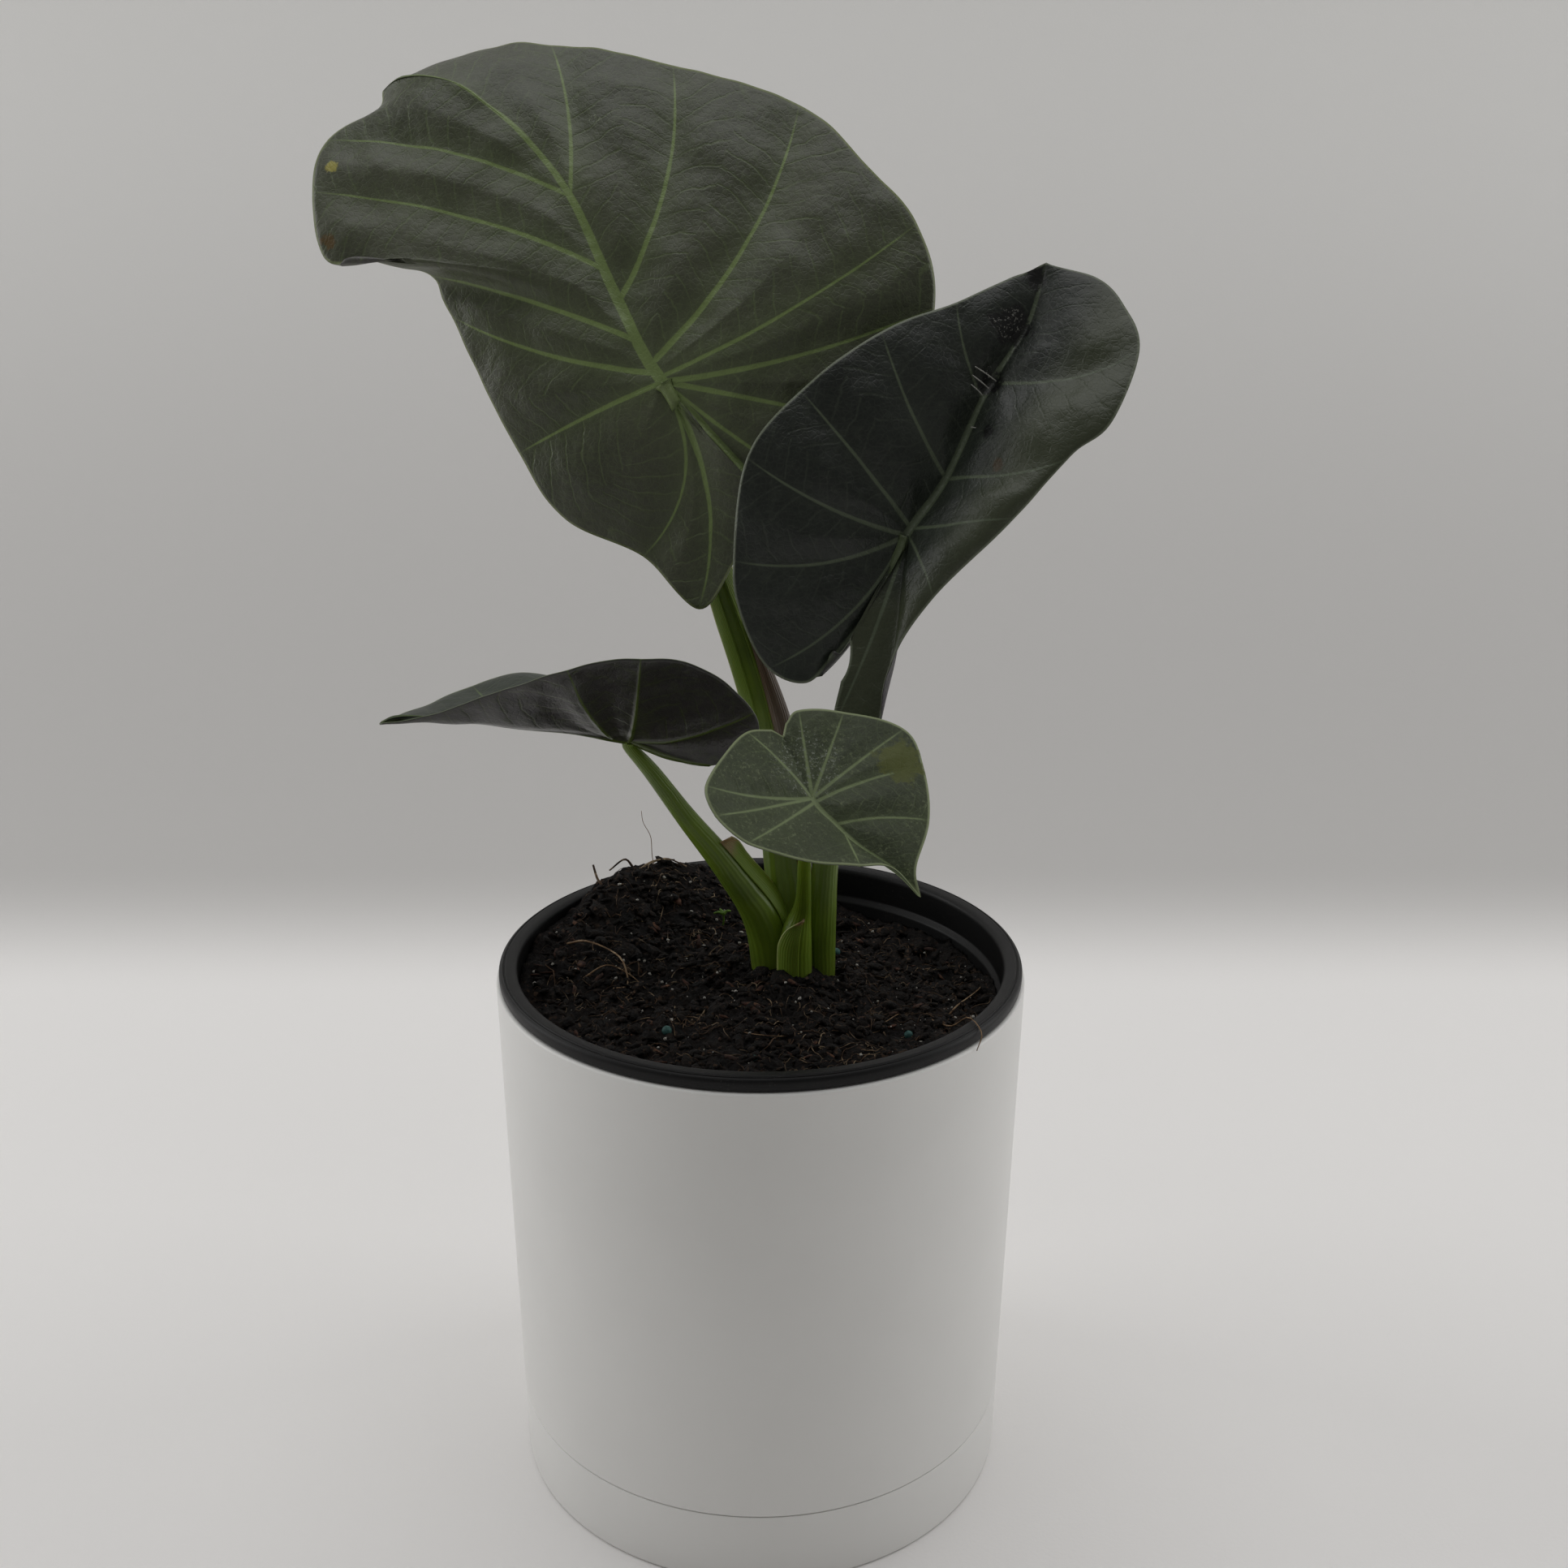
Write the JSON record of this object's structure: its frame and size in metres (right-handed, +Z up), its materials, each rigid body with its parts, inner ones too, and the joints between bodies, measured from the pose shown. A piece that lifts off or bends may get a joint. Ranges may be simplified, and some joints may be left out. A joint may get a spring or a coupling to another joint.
{
  "type": "potted alocasia",
  "caption": "Young alocasia with peltate, bright-veined leaf blades on upright petioles, in a rimmed grower's pot set in a white cover pot with a flush drip saucer.",
  "frame": {"origin": "centre of the drip saucer's foot, on the surface it stands on", "axes": "+Z up along the pots' common axis; -Y is the side of the small front leaf, -X the side the largest leaf hangs towards"},
  "size_m": [0.2411, 0.1685, 0.4476],
  "materials": {
    "white_pot": "matte white moulded plastic",
    "black_pot": "satin black moulded plastic, scuffed on the rim",
    "soil": "dark moist peat mix with fibres and white grains",
    "root": "brown fibrous corm and roots",
    "petiole": "smooth yellow-green living stem",
    "spear": "smooth brownish-purple rolled new leaf",
    "blade_grey_green": "satin grey-green leaf with bright yellow-green veins",
    "blade_dark": "satin blackish-green leaf with grey-green veins",
    "blade_purple": "matte purplish-grey underside with green veins",
    "blade_pale": "satin pale grey-green leaf with pale veins"
  },
  "bodies": {
    "root": {"drip_saucer": "white_pot", "cover_pot": "white_pot", "nursery_pot": "black_pot", "potting_soil": "soil", "rootstock": "root", "petiole_large": "petiole", "petiole_right": "petiole", "petiole_left": "petiole", "petiole_front": "petiole", "new_leaf_spear": "spear", "blade_large": "blade_grey_green", "blade_right": "blade_dark", "blade_left": "blade_purple", "blade_front": "blade_pale"}
  },
  "joints": []
}
